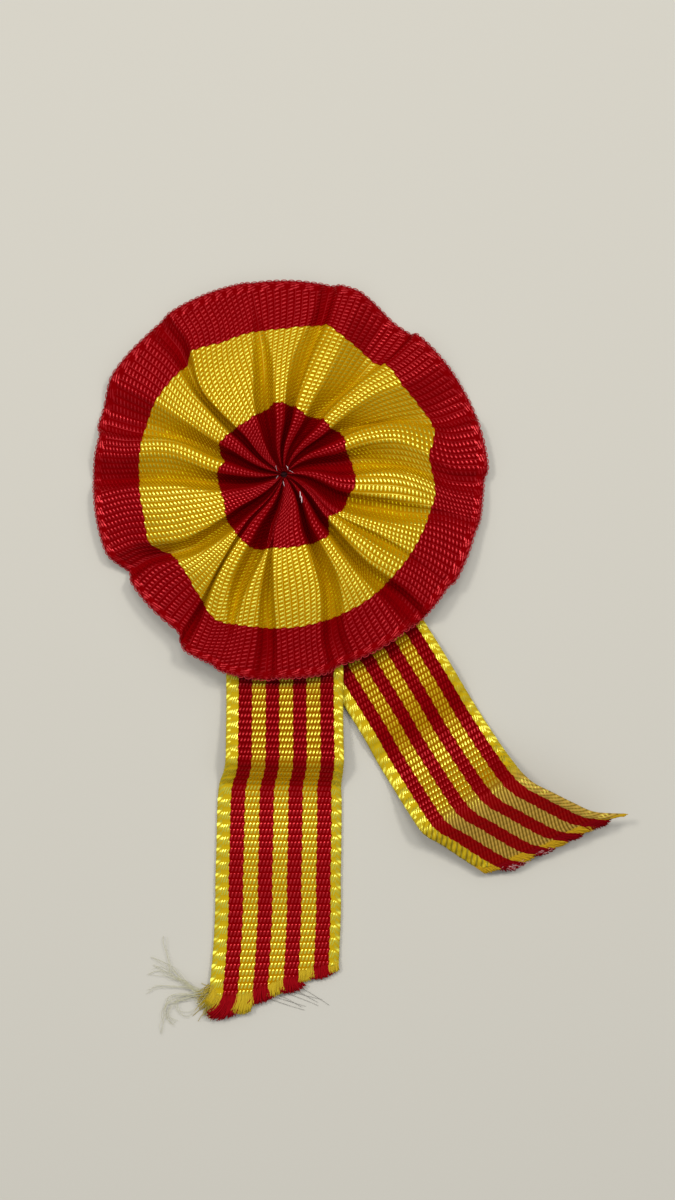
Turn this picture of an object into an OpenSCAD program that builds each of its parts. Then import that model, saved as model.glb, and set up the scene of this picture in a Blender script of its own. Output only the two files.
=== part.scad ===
// Ribbon brooch lying on its back: a pleated ribbon rosette, two striped ribbon tails and a closed pin.
// Units are millimetres. +Z is up, +Y points to the top of the rosette, +X to its right.
// The origin is on the surface it lies on, straight below the gathered centre of the rosette.

/* [Rosette] */
// Size of the rosette, as the radius of a circle of about the same area
rosette_r = 27.5; // [26:0.5:29]
// Thickness of the rosette's ribbon
rosette_wall = 1; // [1:0.05:1.15]
// Height of the tops of the pleats, as a share of the usual height
puff = 1; // [0.9:0.05:1.2]
// How far the rim lifts to pass over the tails
tail_lift = 2.7; // [2.7:0.1:3.2]

/* [Tails] */
// Width of the tails' ribbon
tail_w = 16.4; // [15:0.2:16.8]
// Thickness of the tails' ribbon
tail_wall = 1; // [0.8:0.1:1]

/* [Safety pin] */
// Length of the pin from its bend to the end of its cap
pin_len = 26; // [22:1:27]
// Thickness of the pin's wire
wire_d = 1; // [0.8:0.1:1.1]
// Distance between the middles of the two wires
wire_gap = 4; // [3.6:0.2:4.4]

/* [Hidden] */
$fn = 48;

RED = [0.66, 0.02, 0.06];
YELLOW = [0.80, 0.66, 0.04];
STEEL = [0.75, 0.75, 0.76];

// Shares of the rosette's radius at which the pleats' places are given, and those of the rings that are built.
INNER = 0.235;
MIDDLE = 0.56;
OUTER = 0.87;
RINGS = [0.03, 0.08, 0.14, 0.2, 0.27, 0.34, 0.42, 0.5, 0.58, 0.66, 0.74, 0.82, 0.9, 0.96, 1];

// A row for each pleat, counterclockwise from +X.
// crest: angle of its top at the inner, middle and outer share. valley: the same for the valley after it.
// depth: share of the full depth of that valley at the same three. before, after: how square the pleat's
// two sides are, from 1 (straight slope) to 5 (flat top with a steep edge).
// rim: distance from the centre to the rim at the top and at the valley.
C_CREST = 0;
C_VALLEY = 3;
C_DEPTH = 6;
C_BEFORE = 9;
C_AFTER = 10;
C_RIM_CREST = 11;
C_RIM_VALLEY = 12;
PLEATS = [
    // crest,     valley,       depth,          before, after, rim
    [2, -1, -5, 20, 9, 2, 1.0, 0.8, 0.4, 2.0, 2.5, 27.9, 28.1],
    [36, 27, 15, 45, 33, 24, 0.9, 1.0, 0.8, 1.5, 4.0, 28.8, 29.1],
    [57, 49, 43, 66, 57, 53, 0.9, 1.0, 0.9, 1.5, 4.0, 28.8, 28.4],
    [78, 74, 70, 90, 81, 77, 0.8, 0.7, 0.7, 1.6, 3.5, 30.0, 29.8],
    [97, 93, 92, 108, 101, 102, 1.0, 0.7, 0.4, 2.5, 2.0, 29.5, 29.6],
    [123, 119, 114, 136, 133.5, 129.5, 0.8, 0.9, 0.9, 3.0, 4.0, 29.7, 29.5],
    [147, 142, 139, 158, 159.5, 157, 1.0, 1.0, 0.7, 3.0, 1.6, 29.0, 27.8],
    [169, 166, 168, 187, 181, 179, 1.0, 0.8, 0.8, 4.0, 1.6, 26.9, 26.9],
    [206, 198, 193, 219, 214, 211, 1.0, 1.0, 1.0, 3.5, 4.0, 26.7, 24.9],
    [230, 227, 224, 234, 234.5, 237.5, 0.4, 0.7, 0.9, 2.5, 3.0, 25.4, 26.7],
    [241, 240, 245, 252, 247.5, 251, 1.0, 0.9, 0.4, 3.5, 2.0, 27.2, 27.6],
    [256.5, 255, 258, 260, 261.5, 265, 0.2, 0.7, 0.7, 2.0, 2.0, 27.7, 27.6],
    [275, 277, 276, 295, 291, 287, 1.0, 0.9, 0.7, 3.0, 3.5, 27.3, 26.6],
    [308, 303, 300, 317.5, 312, 315, 0.9, 1.0, 1.0, 2.0, 4.0, 26.7, 27.0],
    [326, 321, 324, 331, 328.5, 330, 0.2, 0.5, 0.3, 4.0, 2.5, 27.0, 27.1],
    [336, 335, 338, 346, 345, 346, 1.0, 0.8, 0.5, 3.0, 1.6, 27.5, 27.8],
];
RIM_MEAN = 27.5;

// Height of the pleats' tops and full depth of the valleys, by share of the radius.
TOP_HEIGHT = [
    [0, 3.95], [0.03, 4.3], [0.08, 5.0], [0.14, 5.9], [0.2, 6.7], [0.27, 7.4], [0.34, 7.8], [0.42, 8.0],
    [0.5, 7.8], [0.58, 7.2], [0.66, 6.4], [0.74, 5.3], [0.82, 4.25], [0.9, 3.3], [0.96, 2.7], [1, 2.35],
];
FULL_DEPTH = [
    [0, 0], [0.03, 0.4], [0.08, 1.2], [0.14, 2.3], [0.2, 3.1], [0.27, 3.9], [0.34, 4.3], [0.42, 4.6],
    [0.5, 4.5], [0.58, 4.1], [0.66, 3.6], [0.74, 2.9], [0.82, 2.3], [0.9, 1.8], [0.96, 1.6], [1, 1.5],
];
USUAL_TOP = 8;

// How far each column stands from the pleat's top, as a share of the way to the valley.
BEFORE_STEPS = [1, 0.84, 0.6, 0.3];
AFTER_STEPS = [0, 0.33, 0.63, 0.86];

// The rim lifts over the tails around this angle, over this half width.
LIFT_ANGLE = 275;
LIFT_HALF = 75;

// Below this half width of a pleat its back is closed, above it the back is hollow.
CLOSED_W = 1.3;
HOLLOW_W = 2.5;

pleat_n = len(PLEATS);
side_n = len(BEFORE_STEPS);
column_n = pleat_n * 2 * side_n;
ring_n = len(RINGS);

// Value of the three stations in a pleat's row, first of them in the given column, at a share of the radius.
function at_share(row, column, share) =
    lookup(share, [[INNER, row[column]], [MIDDLE, row[column + 1]], [OUTER, row[column + 2]]]);

// The valley before a pleat's top belongs to the pleat before it.
function row_before(k) = PLEATS[(k + pleat_n - 1) % pleat_n];
function valley_angle(k, after, share) =
    after ? at_share(PLEATS[k], C_VALLEY, share)
          : at_share(row_before(k), C_VALLEY, share) - (k == 0 ? 360 : 0);
function valley_depth(k, after, share) =
    at_share(after ? PLEATS[k] : row_before(k), C_DEPTH, share) * lookup(share, FULL_DEPTH) * puff;
function valley_rim(k, after) = (after ? PLEATS[k] : row_before(k))[C_RIM_VALLEY];
function top_height(share) = lookup(share, TOP_HEIGHT) + (puff - 1) * lookup(share, FULL_DEPTH);

function lift(angle, share) =
    let (off = abs(((angle - LIFT_ANGLE + 540) % 360) - 180))
    off < LIFT_HALF ? tail_lift * cos(off * 90 / LIFT_HALF) * share * share : 0;

// Half width of a pleat's side along the ring.
function side_width(k, after, share) =
    abs(valley_angle(k, after, share) - at_share(PLEATS[k], C_CREST, share)) * PI / 180 * share * rosette_r;
function hollow(k, after, share) =
    min(1, max(0, (side_width(k, after, share) - CLOSED_W) / (HOLLOW_W - CLOSED_W)));

// Drop of the back below the pleat's top at a step x of its side, wall left out.
function back_drop(k, after, share, x) =
    let (
        depth = valley_depth(k, after, share),
        width = side_width(k, after, share),
        power = PLEATS[k][after ? C_AFTER : C_BEFORE],
        narrow = width > CLOSED_W ? width / (width - min(rosette_wall, width * 0.6)) : 2,
        share_down = min(1, pow(narrow * x, power))
    )
    depth * (1 - hollow(k, after, share) * (1 - share_down));

// Point of the rosette's front or back at a pleat, a side step and a share of the radius.
function rosette_point(k, after, x, share, front) =
    let (
        crest = at_share(PLEATS[k], C_CREST, share),
        angle = crest + (valley_angle(k, after, share) - crest) * x,
        rim = PLEATS[k][C_RIM_CREST] + (valley_rim(k, after) - PLEATS[k][C_RIM_CREST]) * x,
        reach = 1 + (rim / RIM_MEAN - 1) * share * share,
        r = rosette_r * share * reach,
        power = PLEATS[k][after ? C_AFTER : C_BEFORE],
        top = top_height(share) + lift(angle, share),
        drop_front = valley_depth(k, after, share) * pow(x, power),
        drop_back = x > 0 ? back_drop(k, after, share, x)
            : (back_drop(k, true, share, 0) + back_drop(k, false, share, 0)) / 2,
        z = front ? top - drop_front : top - drop_back - rosette_wall
    )
    [r * cos(angle), r * sin(angle), z];

function rosette_ring(share, front) = [
    for (k = [0:pleat_n - 1], after = [false, true], x = after ? AFTER_STEPS : BEFORE_STEPS)
        rosette_point(k, after, x, share, front)
];

module rosette_ribbon() {
    points = [
        for (front = [true, false], share = RINGS)
            each rosette_ring(share, front),
        [0, 0, TOP_HEIGHT[0][1]],
        [0, 0, TOP_HEIGHT[0][1] - rosette_wall],
    ];
    back = ring_n * column_n;
    middle = 2 * back;
    function at(i, j) = i * column_n + j % column_n;
    faces = [
        for (i = [0:ring_n - 2], j = [0:column_n - 1]) each [
            [at(i, j), at(i, j + 1), at(i + 1, j + 1)],
            [at(i, j), at(i + 1, j + 1), at(i + 1, j)],
            [back + at(i, j), back + at(i + 1, j + 1), back + at(i, j + 1)],
            [back + at(i, j), back + at(i + 1, j), back + at(i + 1, j + 1)],
        ],
        for (j = [0:column_n - 1]) each [
            [middle, at(0, j + 1), at(0, j)],
            [middle + 1, back + at(0, j), back + at(0, j + 1)],
            [at(ring_n - 1, j), at(ring_n - 1, j + 1), back + at(ring_n - 1, j + 1)],
            [at(ring_n - 1, j), back + at(ring_n - 1, j + 1), back + at(ring_n - 1, j)],
        ],
    ];
    color(RED)
        polyhedron(points = points, faces = faces);
}

// A row for each section of a tail, from under the rosette to the cut end.
// x, y: its middle. turn: direction of the line from its left edge to its right edge.
// left, right: heights of the ribbon's middle layer at the two edges. arch: rise between them.
// wide: length of the section as a share of the ribbon's width, over 1 where the cut is oblique.
T_X = 0;
T_Y = 1;
T_TURN = 2;
T_LEFT = 3;
T_RIGHT = 4;
T_ARCH = 5;
T_WIDE = 6;
LEFT_SECTIONS = [
    // x, y, turn, left, right, arch, wide
    [0.1, 2.0, 0, 1.8, 1.8, 0, 0.98],
    [0.1, -8.0, 0, 1.8, 1.8, 0, 0.98],
    [0.1, -18.0, 0, 1.75, 1.9, 0, 0.98],
    [0.1, -26.0, 0, 1.6, 2.0, 0.1, 0.98],
    [0.1, -32.0, 0, 1.8, 2.1, 0.4, 0.975],
    [0.1, -36.6, 0, 2.3, 2.4, 0.5, 0.975],
    [0.0, -38.8, -1, 2.0, 2.2, 0.4, 0.98],
    [-0.3, -41.2, -2, 0.8, 1.0, 0.1, 1.0],
    [-0.5, -43.4, -1, 0.5, 0.5, 0, 1.03],
    [-0.6, -48.0, 0, 0.5, 0.5, 0.2, 1.03],
    [-0.7, -53.0, 0, 0.5, 0.5, 0.1, 1.03],
    [-0.8, -58.0, 0, 0.5, 0.5, 0, 1.03],
    [-1.0, -62.5, 3, 0.5, 0.5, 0.2, 1.03],
    [-1.4, -67.8, 13, 1.1, 0.5, 0.3, 1.09],
];
RIGHT_SECTIONS = [
    // x, y, turn, left, right, arch, wide
    [-0.4, -1.4, 31, 0.5, 0.5, 0, 0.97],
    [4.2, -9.1, 31, 0.5, 0.5, 0, 0.97],
    [8.8, -16.8, 31, 0.5, 0.5, 0, 0.97],
    [12.4, -22.8, 31, 0.5, 0.6, 0, 0.96],
    [14.5, -26.3, 31, 0.6, 1.5, 0.1, 0.95],
    [16.3, -29.3, 31, 1.0, 2.1, 0.3, 0.94],
    [17.8, -31.8, 31, 1.2, 1.6, 0.2, 0.94],
    [19.4, -34.5, 31, 0.6, 0.7, 0, 0.95],
    [21.4, -37.8, 31, 1.0, 1.0, 0.1, 0.95],
    [23.3, -41.0, 30, 2.5, 2.6, 0.2, 0.95],
    [24.9, -43.5, 29, 4.3, 4.5, 0.2, 0.95],
    [26.2, -44.7, 27, 4.7, 5.0, 0.1, 0.96],
    [28.3, -45.8, 26, 4.2, 4.9, 0, 0.98],
    [31.1, -47.4, 27, 3.2, 4.3, 0, 1.0],
    [33.9, -48.8, 27, 2.4, 3.6, 0, 1.04],
    [37.0, -49.3, 24.5, 1.9, 3.0, 0, 1.2],
];
ACROSS_N = 4;
BETWEEN_N = 3;

// Smooth curve through four neighbouring rows, from the second to the third.
function eased(a, b, c, d, t) =
    0.5 * (2 * b + (c - a) * t + (2 * a - 5 * b + 4 * c - d) * t * t + (3 * b - a - 3 * c + d) * t * t * t);

// Sections of a tail at the rows and between them.
function tail_sections(rows) = let (last = len(rows) - 1) [
    for (i = [0:last - 1], n = [0:BETWEEN_N - 1])
        eased(rows[max(i - 1, 0)], rows[i], rows[i + 1], rows[min(i + 2, last)], n / BETWEEN_N),
    rows[last],
];

// Point of a tail's middle layer: across runs from -1 at the left edge to 1 at the right edge.
function tail_point(s, across) =
    let (half = tail_w * s[T_WIDE] / 2 * across)
    [
        s[T_X] + half * cos(s[T_TURN]),
        s[T_Y] + half * sin(s[T_TURN]),
        max(tail_wall / 2, s[T_LEFT] + (s[T_RIGHT] - s[T_LEFT]) * (1 + across) / 2
            + s[T_ARCH] * (1 - across * across)),
    ];

// Unit vector square to a tail's surface at a section, pointing up.
function tail_up(sections, i, across) =
    let (
        last = len(sections) - 1,
        along = tail_point(sections[min(i + 1, last)], across) - tail_point(sections[max(i - 1, 0)], across),
        side = tail_point(sections[i], min(across + 0.1, 1)) - tail_point(sections[i], max(across - 0.1, -1)),
        up = cross(side, -along)
    )
    up / norm(up);

module tail(rows) {
    sections = tail_sections(rows);
    section_n = len(sections);
    wide_n = ACROSS_N + 1;
    points = [
        for (layer = [1, -1], i = [0:section_n - 1], j = [0:ACROSS_N])
            let (across = 2 * j / ACROSS_N - 1)
            tail_point(sections[i], across) + tail_up(sections, i, across) * layer * tail_wall / 2
    ];
    under = section_n * wide_n;
    function at(i, j) = i * wide_n + j;
    last = section_n - 1;
    faces = [
        for (i = [0:last - 1], j = [0:ACROSS_N - 1]) each [
            [at(i, j), at(i, j + 1), at(i + 1, j + 1)],
            [at(i, j), at(i + 1, j + 1), at(i + 1, j)],
            [under + at(i, j), under + at(i + 1, j + 1), under + at(i, j + 1)],
            [under + at(i, j), under + at(i + 1, j), under + at(i + 1, j + 1)],
        ],
        for (i = [0:last - 1]) each [
            [at(i, 0), at(i + 1, 0), under + at(i + 1, 0)],
            [at(i, 0), under + at(i + 1, 0), under + at(i, 0)],
            [at(i, ACROSS_N), under + at(i + 1, ACROSS_N), at(i + 1, ACROSS_N)],
            [at(i, ACROSS_N), under + at(i, ACROSS_N), under + at(i + 1, ACROSS_N)],
        ],
        for (j = [0:ACROSS_N - 1]) each [
            [at(0, j), under + at(0, j + 1), at(0, j + 1)],
            [at(0, j), under + at(0, j), under + at(0, j + 1)],
            [at(last, j), at(last, j + 1), under + at(last, j + 1)],
            [at(last, j), under + at(last, j + 1), under + at(last, j)],
        ],
    ];
    color(YELLOW)
        polyhedron(points = points, faces = faces);
}

module tail_left() {
    tail(LEFT_SECTIONS);
}

module tail_right() {
    tail(RIGHT_SECTIONS);
}

// Middle of the pin, and the size of its cap.
pin_x = -1;
pin_y = 6.6;
cap_len = 6;
cap_h = 1.8;
cap_corner = 1.2;
cap_rim = 0.8;
wire_z = cap_h / 2;
bend_r = wire_gap / 2;
cap_x = pin_x + pin_len / 2 - cap_len;
bend_x = pin_x - pin_len / 2 + bend_r + wire_d / 2;

module wire(y) {
    translate([bend_x, y, wire_z])
        rotate([0, 90, 0])
            cylinder(h = cap_x + cap_len / 2 - bend_x, d = wire_d);
}

module cap() {
    translate([cap_x + cap_len / 2, pin_y, 0])
        linear_extrude(height = cap_h)
            offset(r = cap_corner)
                square([cap_len - 2 * cap_corner, wire_gap + 2 * cap_rim - 2 * cap_corner], center = true);
}

module safety_pin() {
    color(STEEL)
        union() {
            wire(pin_y - bend_r);
            wire(pin_y + bend_r);
            translate([bend_x, pin_y, wire_z])
                rotate([0, 0, 90])
                    rotate_extrude(angle = 180)
                        translate([bend_r, 0])
                            circle(d = wire_d);
            cap();
        }
}

rosette_ribbon();
tail_left();
tail_right();
safety_pin();
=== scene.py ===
"""Ribbon brooch lying on its back: a gathered red and yellow rosette over two striped tails and a closed pin.

Lengths in the tables are millimetres in the CAD model's frame and become metres when the meshes are made.
Rows of the pleat table and of the tails' sections follow the CAD model's own tables.
"""

import math

import bmesh
import bpy
import numpy as np
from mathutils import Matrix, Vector

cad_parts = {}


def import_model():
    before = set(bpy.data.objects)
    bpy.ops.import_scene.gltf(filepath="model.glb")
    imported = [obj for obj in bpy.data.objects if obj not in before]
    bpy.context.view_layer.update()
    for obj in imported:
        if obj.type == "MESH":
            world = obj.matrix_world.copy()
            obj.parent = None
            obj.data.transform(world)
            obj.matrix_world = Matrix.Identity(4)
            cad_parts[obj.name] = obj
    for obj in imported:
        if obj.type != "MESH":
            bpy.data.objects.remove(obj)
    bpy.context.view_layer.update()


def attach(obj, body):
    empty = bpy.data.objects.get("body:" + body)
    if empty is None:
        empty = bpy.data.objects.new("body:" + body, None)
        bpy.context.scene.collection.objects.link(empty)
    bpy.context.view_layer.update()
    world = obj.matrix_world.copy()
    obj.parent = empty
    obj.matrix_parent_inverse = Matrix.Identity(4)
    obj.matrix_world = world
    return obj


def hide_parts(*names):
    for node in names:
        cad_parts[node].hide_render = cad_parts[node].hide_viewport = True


MM = 0.001

# Rosette: the cloth's width, its radius, and the ribbon widths where the red centre and the yellow band end.
RIBBON_W = 30.0
ROSETTE_R = 27.5
CENTRE_W, YELLOW_W = 10.4, 22.6
# Shares of the radius at which the pleat table gives its values.
INNER, MIDDLE, OUTER = 0.235, 0.56, 0.87

# A row for each pleat, counterclockwise from +X: the angles where its crest starts and ends and where the
# floor after it starts and ends, each at the inner, middle and outer share of the radius, the depth of that
# floor at the same three, and the rim's distance at the crest and at the floor.
PLEATS = (
    (-16, -12.5, -11, 0, 3, -4, 6.5, 5.5, -1.5, 20, 8.5, 1.5,
     1, 0.8, 0.35, 27.9, 28.1),
    (22.5, 18, 3.5, 35, 28, 18, 39.5, 30, 19, 46.5, 31.5, 27.5,
     0.9, 1, 1.1, 28.8, 29.1),
    (45.5, 43, 37.5, 57.5, 52.5, 49, 61.5, 54, 50, 68, 57, 59,
     0.9, 1, 1.1, 28.8, 28.4),
    (70, 67, 67.5, 82, 78, 74.5, 84, 79, 76, 87.5, 81, 78,
     0.8, 0.7, 0.7, 30, 29.8),
    (89, 86.5, 80, 99, 96, 98, 103.5, 98.5, 99, 110.5, 102.5, 100,
     1, 0.7, 0.1, 29.5, 29.6),
    (115.5, 105.5, 100.5, 134.5, 134, 124, 135, 134, 126.5, 138, 135.5, 129,
     0.8, 0.9, 0.9, 29.7, 29.5),
    (142, 137.5, 132, 155, 151, 149, 156, 156.5, 155.5, 161.5, 159.5, 163,
     1, 1, 0.9, 29, 27.8),
    (166.5, 161.5, 164.5, 179.5, 170, 172, 180.5, 179, 177.5, 187, 181.5, 180,
     1, 0.8, 1, 26.9, 26.9),
    (194.5, 184.5, 182.5, 216, 213.5, 203.5, 217, 216.5, 208.5, 223, 219.5, 211.5,
     1, 1, 1, 26.7, 24.9),
    (228, 223, 213, 232, 235, 236.5, 232, 235, 237.5, 233, 235.5, 238.5,
     0.4, 0.5, 0.8, 25.4, 26.7),
    (235, 236.5, 240, 245, 244, 249.5, 248, 247, 250.5, 255.5, 250, 251,
     1, 0.9, 0.1, 27.2, 27.6),
    (258, 252, 252, 259, 259, 261, 259, 260.5, 263.5, 259.5, 263, 266,
     0.05, 0.7, 0.7, 27.7, 27.6),
    (260, 264.5, 267.5, 288, 288, 283, 292, 291, 285.5, 295, 293.5, 288.5,
     1, 0.9, 0.8, 27.3, 26.6),
    (297, 297.5, 291.5, 306.5, 306.5, 309.5, 311, 310, 312.5, 314, 312, 315.5,
     0.9, 1, 1, 26.7, 27),
    (314, 313, 317.5, 320, 322.5, 326.5, 321, 325, 327.5, 321, 327, 328,
     0.05, 0.35, 0.05, 27, 27.1),
    (322, 327.5, 328.5, 328, 336, 345, 335.5, 340.5, 347, 343, 345.5, 348,
     1, 0.8, 0.12, 27.5, 27.8),
)
# Radius of the red centre's edge and of the yellow band's outer edge for each pleat: at the start, middle
# and end of its crest, and at the floor after it.
BANDS = (
    (9.4, 9.9, 9.7, 9.7, 20.7, 21, 20.8, 20.7),
    (9.2, 9.5, 9.9, 10.2, 20.2, 21.3, 22.3, 22.5),
    (9.2, 9.4, 9.6, 9.8, 21.2, 21.6, 21.8, 21.4),
    (8.9, 9.3, 9.8, 10.3, 22, 22.5, 23.2, 23.2),
    (10.1, 10.2, 10.3, 10.1, 22.2, 21.4, 21.3, 21.5),
    (9.4, 9.1, 9.4, 9.8, 21.4, 21.2, 22.6, 21.5),
    (9.6, 9.7, 10, 9.5, 21.1, 21, 21, 20.9),
    (8.3, 8.8, 9.2, 9.1, 20.6, 20.4, 20.3, 20.2),
    (8.9, 8.9, 9.7, 9.8, 20, 19.9, 20.6, 18.6),
    (10.1, 10.3, 10.4, 10.4, 18.4, 18.8, 20.1, 20.3),
    (10.5, 10.7, 10.9, 10.4, 20.8, 21.6, 21.5, 21.3),
    (10.5, 10.4, 10.3, 10.1, 21.2, 21, 20.8, 20.7),
    (10.1, 10, 10, 9.8, 20.7, 20.6, 20.4, 20.3),
    (10.2, 10.3, 10.3, 9.1, 20.3, 20.3, 20.2, 20.1),
    (8.6, 8.3, 8.6, 8.7, 20.1, 20.1, 20.2, 20.2),
    (8.9, 9.1, 9.3, 9.2, 20.2, 20.3, 20.5, 20.6),
)
# Height of the crests, and how far the deepest floors lie below them, by share of the radius.
TOP_HEIGHT = (
    (0, 4.5), (0.03, 4.9), (0.08, 5.6), (0.14, 6.3), (0.2, 6.9), (0.27, 7.5), (0.34, 7.8), (0.42, 8),
    (0.5, 7.8), (0.58, 7.2), (0.66, 6.4), (0.74, 5.3), (0.82, 4.25), (0.9, 3.3), (0.96, 2.7), (1, 2.35),
)
FULL_DEPTH = (
    (0, 0.1), (0.03, 0.6), (0.08, 1.4), (0.14, 2.1), (0.2, 2.7), (0.27, 3.2), (0.34, 3.45), (0.42, 3.4),
    (0.5, 3.2), (0.58, 3), (0.66, 2.7), (0.74, 2.5), (0.82, 2.2), (0.9, 1.9), (0.96, 1.6), (1, 1.5),
)

# Tails: x, y, turn of the section, heights of its left and right ends, arch, share of the ribbon's width.
LEFT_SECTIONS = (
    (0.1, 2, 0, 1.8, 1.8, 0, 0.98),
    (0.1, -8, 0, 1.8, 1.8, 0, 0.98),
    (0.1, -18, 0, 1.75, 1.9, 0, 0.98),
    (0.1, -26, 0, 1.6, 2, 0.1, 0.98),
    (0.1, -31, 0, 1.6, 1.8, 0.3, 0.975),
    (0.1, -35.4, 0, 2.3, 2.4, 0.5, 0.975),
    (0.1, -38.1, -1, 2.9, 3, 0.4, 0.975),
    (-0.1, -39.8, -1, 1.9, 2, 0.25, 0.985),
    (-0.5, -41.5, -1, 0.7, 0.8, 0.05, 1.01),
    (-0.6, -44, 0, 0.45, 0.45, 0.05, 1.03),
    (-0.7, -50, 0, 0.5, 0.5, 0.2, 1.03),
    (-0.8, -54, 0, 0.5, 0.5, 0.1, 1.03),
    (-0.8, -58, 0, 0.5, 0.5, 0, 1.03),
    (-1, -62.5, 1, 0.5, 0.5, 0.2, 1.03),
    (-1.3, -67, 2, 0.8, 0.5, 0.3, 1.04),
    (-1.7, -72, 3, 1.1, 0.5, 0.2, 1.05),
)
RIGHT_SECTIONS = (
    (-0.4, -1.4, 31, 0.5, 0.5, 0, 0.97),
    (4.2, -9.1, 31, 0.5, 0.5, 0, 0.97),
    (8.8, -16.8, 31, 0.5, 0.5, 0, 0.97),
    (12.4, -22.8, 31, 0.5, 0.6, 0, 0.96),
    (14.5, -26.3, 31, 0.6, 1.5, 0.1, 0.95),
    (16.3, -29.3, 31, 1, 2.1, 0.3, 0.94),
    (17.8, -31.8, 31, 1.2, 1.6, 0.2, 0.94),
    (19.4, -34.5, 31, 0.6, 0.7, 0, 0.95),
    (21.4, -37.8, 31, 1, 1, 0.1, 0.95),
    (23.3, -41, 30, 2.5, 2.6, 0.2, 0.95),
    (24.9, -43.5, 29, 3.4, 5, 0.2, 0.95),
    (26.2, -44.7, 27, 3.5, 5.9, 0.1, 0.96),
    (28.3, -45.8, 26, 2.9, 5.8, 0, 0.98),
    (31.1, -47.4, 27, 2.1, 5, 0, 1),
    (33.9, -48.8, 27, 1.5, 4.2, 0, 1.04),
    (37, -49.3, 24.5, 1.1, 3.5, 0, 1.2),
)
TAIL_W = 16.4
TAIL_PITCH = 0.83
LEFT_EDGE_W, STRIPE_W, RIGHT_EDGE_W = 1.75, 1.9, 1.35
LAST_STRIPE = 8
# Place across the ribbon and length of the cloth there, and how uneven the cut is from stripe to stripe.
LEFT_CUT = ((0, 70.9), (2, 72.1), (5, 72), (8, 71), (10, 70.2), (14, 68.9), (16.4, 68.2))
RIGHT_CUT = (
    (0, 60.6), (1.5, 61.3), (2.2, 62.1), (9, 62.4), (13, 62.4), (14.8, 62.6), (15.4, 63.4), (16.4, 64.2),
)
LEFT_UNEVEN, RIGHT_UNEVEN = 0.22, 0.3
# How far the loose ends of each stripe reach past the cut, and how far they lean to the side.
LEFT_TUFTS = (
    (1.4, -0.4), (2.5, -0.4), (2.1, -0.1), (1.6, 0), (1.3, 0.1), (1.5, 0.1), (1.1, 0.1), (1.1, 0.1),
    (0.8, 0.1),
)
RIGHT_TUFTS = (
    (1.2, 0), (1.9, 0), (1.7, 0), (2.0, 0), (1.8, 0), (2.2, 0), (1.9, 0), (2.3, -0.3), (0.6, 0),
)

# The cloth stays at least this far above the floor.
LOWEST = 0.02


# Curves and meshes

def column(table, i):
    return np.array([row[i] for row in table], float)


def unit(vectors):
    return vectors / (np.linalg.norm(vectors, axis=-1, keepdims=True) + 1e-12)


def hermite(t, a, b, slope_a=0.0, slope_b=0.0):
    """Cubic from a to b as t goes from 0 to 1, with these slopes at its ends."""
    return (
        a * (2 * t**3 - 3 * t**2 + 1) + slope_a * (t**3 - 2 * t**2 + t)
        + b * (3 * t**2 - 2 * t**3) + slope_b * (t**3 - t**2)
    )


def part_of(x, low, high):
    return np.clip((x - low) / (high - low), 0, 1)


def smooth_step(a, b, x):
    t = part_of(x, a, b)
    return t * t * (3 - 2 * t)


def smooth_lookup(x, table):
    """Smooth curve through the table's points that keeps to their rises and falls."""
    xs, ys = column(table, 0), column(table, 1)
    slope = np.diff(ys) / np.diff(xs)
    before, after = slope[:-1], slope[1:]
    inner = np.where(after * before > 0, 2 * after * before / (after + before + 1e-12), 0)
    tangent = np.concatenate([slope[:1], inner, slope[-1:]])
    i = np.clip(np.searchsorted(xs, x) - 1, 0, len(xs) - 2)
    h = xs[i + 1] - xs[i]
    return hermite(part_of(x, xs[i], xs[i + 1]), ys[i], ys[i + 1], tangent[i] * h, tangent[i + 1] * h)


def at_share(values, share):
    """Three stations' values eased over the share of the radius, constant outside them."""
    a, b, c = values
    slope = (c - a) / (OUTER - INNER)
    first = hermite(part_of(share, INNER, MIDDLE), a, b, slope_b=slope * (MIDDLE - INNER))
    second = hermite(part_of(share, MIDDLE, OUTER), b, c, slope_a=slope * (OUTER - MIDDLE))
    return np.where(share < MIDDLE, first, second)


def eased_rows(table, step):
    """Catmull-Rom curve through the rows of a table, at the given places (in rows)."""
    rows = np.array(table, float)
    last = len(rows) - 1
    i = np.clip(step.astype(int), 0, last - 1)
    t = (step - i)[:, None]
    a, b, c, d = rows[np.maximum(i - 1, 0)], rows[i], rows[i + 1], rows[np.minimum(i + 2, last)]
    return 0.5 * (2 * b + (c - a) * t + (2 * a - 5 * b + 4 * c - d) * t**2 + (3 * b - a - 3 * c + d) * t**3)


def cord(rib):
    """Height of a rib's flat-topped cord along the rib coordinate, 0 in the grooves and 1 on top."""
    return 1 - np.abs(2 * (rib % 1) - 1) ** 2.5


def grid_normals(points, wrap):
    """Unit normals of a grid of points (rows, columns, 3)."""
    if wrap:
        across = np.roll(points, -1, 1) - np.roll(points, 1, 1)
    else:
        across = np.gradient(points, axis=1)
    return unit(np.cross(np.gradient(points, axis=0), across))


def facing_up(normals):
    """The same normals, all turned over where they point down on the whole."""
    return -normals if normals[..., 2].mean() < 0 else normals


def bent_path(start, out, bend, steps, lowest):
    """Path from start along out, bending off by bend, nowhere below lowest."""
    t = np.linspace(0, 1, steps)[:, None]
    path = start + out * t + bend * t**2
    path[:, 2] = np.maximum(path[:, 2], lowest)
    return path


def add_to_scene(name, data):
    obj = bpy.data.objects.new(name, data)
    bpy.context.scene.collection.objects.link(obj)
    return obj


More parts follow.
